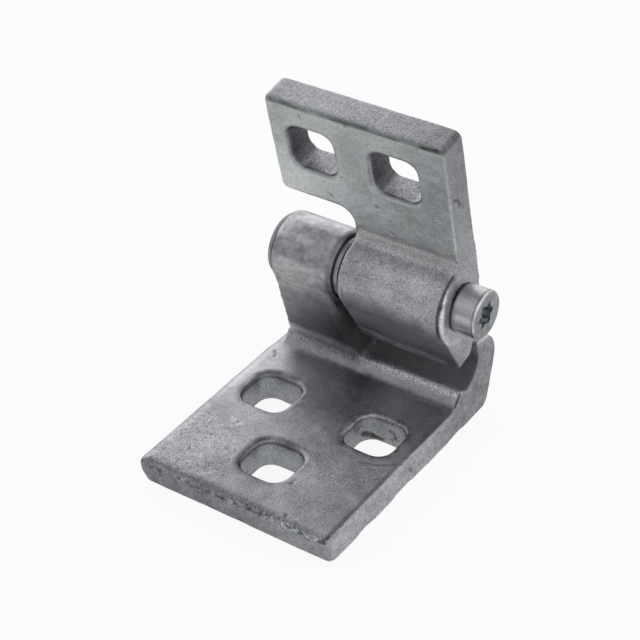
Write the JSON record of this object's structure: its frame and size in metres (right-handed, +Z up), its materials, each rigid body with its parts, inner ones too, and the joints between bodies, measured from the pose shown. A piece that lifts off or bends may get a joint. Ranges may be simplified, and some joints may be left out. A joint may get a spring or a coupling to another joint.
{
  "type": "car door hinge",
  "caption": "Forged steel car door hinge: a foot leaf with a stop wall and an upright door leaf turn on a short pin with a six-lobe head; rounded square holes take the bolts.",
  "frame": {"origin": "on the flat foot of the fixed leaf, on the middle line of its bolt holes and near the middle of its depth", "axes": "+X along the hinge pin towards its head, +Y towards the stop wall, +Z up from the foot"},
  "size_m": [0.0828, 0.0965, 0.1136],
  "materials": {
    "forged_steel": "forged and zinc plated, dull",
    "pin_steel": "turned and zinc plated, satin",
    "bush_steel": "dull bearing strip"
  },
  "bodies": {
    "fixed": {"fixed_leaf": "forged_steel", "outer_bush": "bush_steel", "inner_bush": "bush_steel"},
    "moving": {"moving_leaf": "forged_steel", "hinge_pin": "pin_steel"}
  },
  "joints": [
    {"name": "pin_hinge", "type": "hinge", "parent": "fixed", "child": "moving", "pos_m": [0, 0.0278, 0.052], "axis": [1, 0, 0], "range_deg": [-116, 20]}
  ]
}
